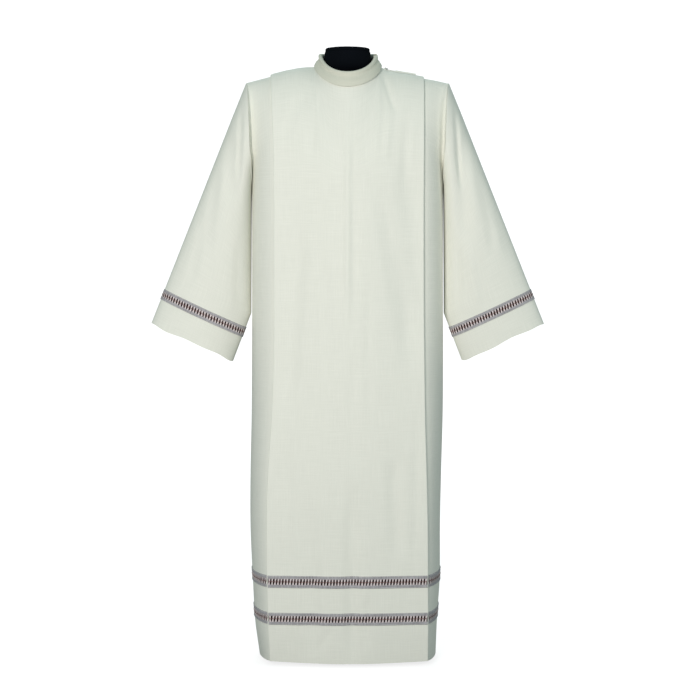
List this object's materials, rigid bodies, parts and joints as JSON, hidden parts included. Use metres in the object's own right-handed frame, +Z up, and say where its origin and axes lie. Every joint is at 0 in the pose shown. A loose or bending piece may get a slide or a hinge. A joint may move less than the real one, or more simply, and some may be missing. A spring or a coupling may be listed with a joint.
{
  "type": "alb robe on a dress form",
  "caption": "Long cream alb with a rolled collar, side pleats, wide sleeves and openwork trim bands, hanging on a headless dress form with a pole and an oval base.",
  "frame": {"origin": "middle of the base's underside, on the floor", "axes": "+Z up, the robe's front faces -Y, +X is the picture's right (the wearer's left)"},
  "size_m": [0.9758, 0.2961, 1.5078],
  "materials": {
    "ivory_cloth": "matt ivory wool blend, fine slubby weave",
    "grey_trim": "woven grey galloon with an openwork ladder",
    "zip_nylon": "nylon coil",
    "zip_metal": "satin",
    "black_form": "matt black",
    "dark_steel": "satin black powder coat"
  },
  "bodies": {
    "root": {"front": "ivory_cloth", "back": "ivory_cloth", "sleeve_left": "ivory_cloth", "sleeve_right": "ivory_cloth", "collar": "ivory_cloth", "shoulder_welt": "ivory_cloth", "zip_tape": "ivory_cloth", "zip_coil": "zip_nylon", "zip_slider": "zip_metal", "trim_upper_front": "grey_trim", "trim_upper_back": "grey_trim", "trim_upper_side_left": "grey_trim", "trim_upper_side_right": "grey_trim", "trim_lower_front": "grey_trim", "trim_lower_back": "grey_trim", "trim_lower_side_left": "grey_trim", "trim_lower_side_right": "grey_trim", "trim_sleeve_left": "grey_trim", "trim_sleeve_right": "grey_trim", "form_body": "black_form", "form_cap": "black_form", "form_pole": "dark_steel", "form_base": "dark_steel"}
  },
  "joints": []
}
